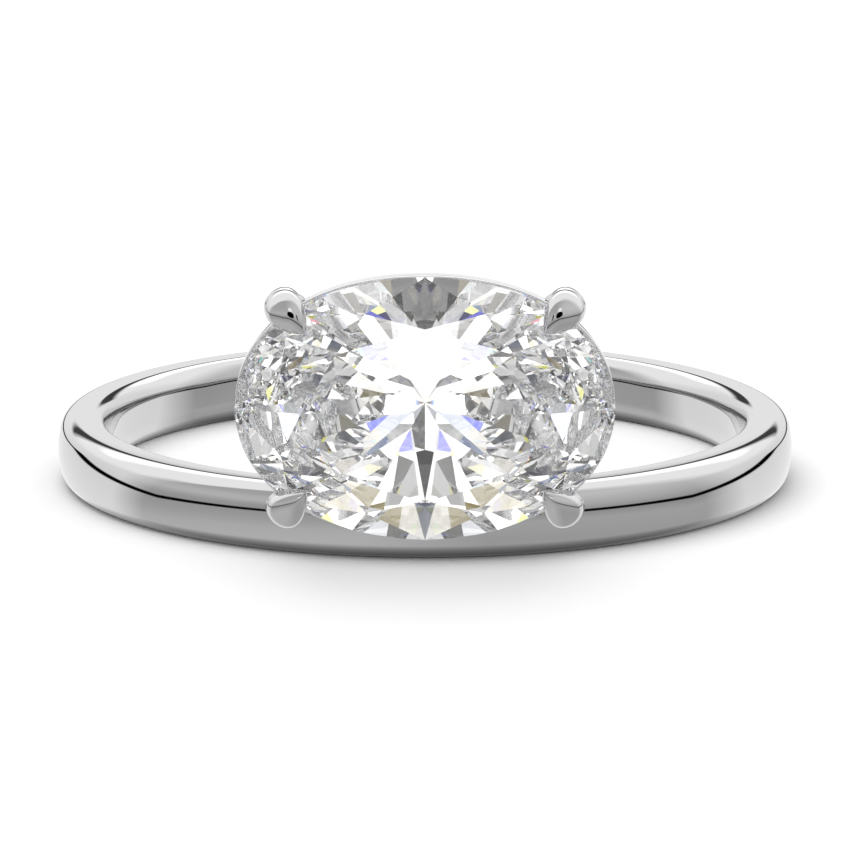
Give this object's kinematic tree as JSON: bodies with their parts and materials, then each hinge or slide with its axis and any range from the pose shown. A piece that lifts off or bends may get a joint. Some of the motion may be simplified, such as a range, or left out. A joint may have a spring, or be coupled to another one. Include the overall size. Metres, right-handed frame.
{
  "type": "oval engagement ring",
  "caption": "Plain polished ring band lying on its side, with an oval brilliant-cut stone held across it by claw prongs and a thin seat rail.",
  "frame": {"origin": "centre of the finger hole, halfway across the width of the band", "axes": "+Z along the finger hole and up as the ring lies on its side, -Y from the hole towards the stone, +X along the stone's length"},
  "size_m": [0.0196, 0.0232, 0.0077],
  "materials": {
    "polished_metal": "mirror-polished white gold with a bright rhodium surface",
    "clear_stone": "colourless cut stone with flat polished facets"
  },
  "bodies": {
    "root": {"band_and_setting": "polished_metal", "oval_stone": "clear_stone"}
  },
  "joints": []
}
